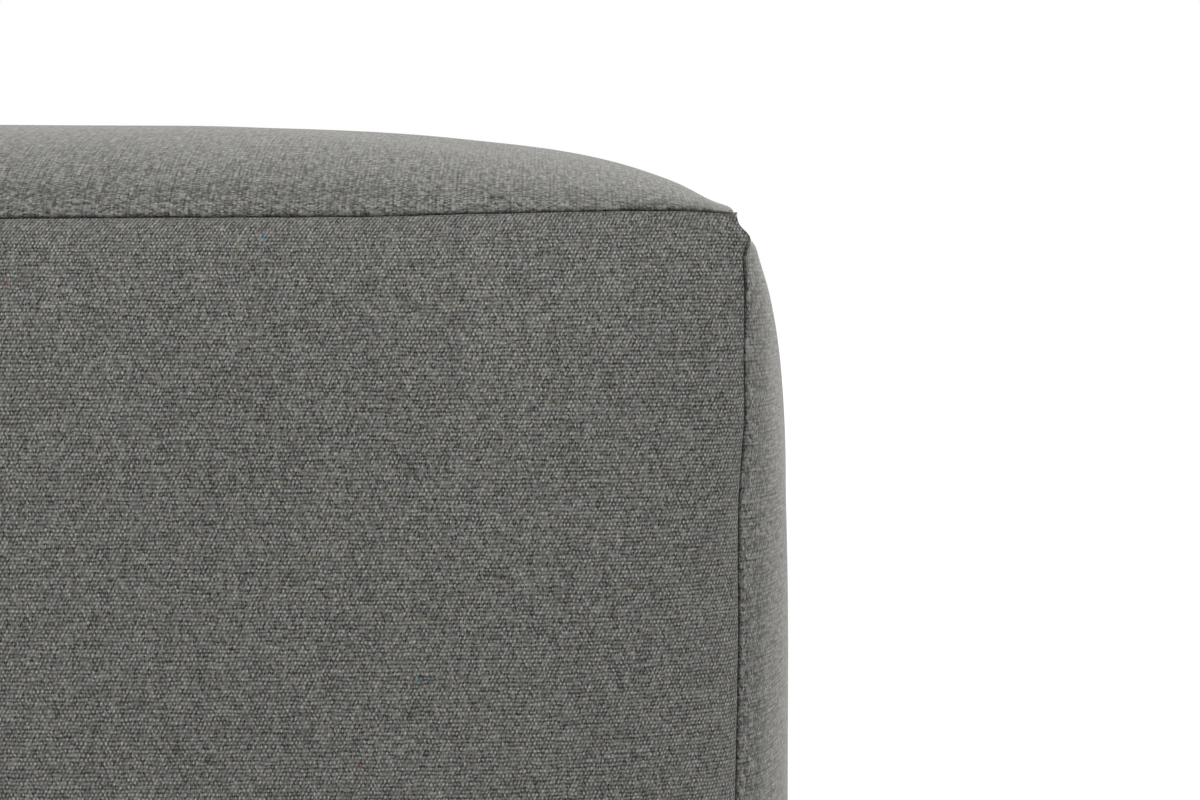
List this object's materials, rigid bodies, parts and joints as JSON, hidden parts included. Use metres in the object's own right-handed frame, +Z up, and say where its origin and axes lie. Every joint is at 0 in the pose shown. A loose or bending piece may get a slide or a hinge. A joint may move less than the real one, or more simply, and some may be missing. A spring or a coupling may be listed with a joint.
{
  "type": "cube pouf stool",
  "caption": "Soft cube pouf stool in heathered grey canvas: crowned square panels sewn edge to edge with plain turned-in seams, resting on a flat pressed base.",
  "frame": {"origin": "on the floor, under the middle of the pouf", "axes": "+Z up, out of the top panel; the front panel faces -Y and the right panel faces +X"},
  "size_m": [0.4294, 0.4294, 0.4297],
  "materials": {
    "canvas": "matt heathered plain-weave canvas"
  },
  "bodies": {
    "root": {"panel_top": "canvas", "panel_front": "canvas", "panel_right": "canvas", "panel_back": "canvas", "panel_left": "canvas", "panel_bottom": "canvas"}
  },
  "joints": []
}
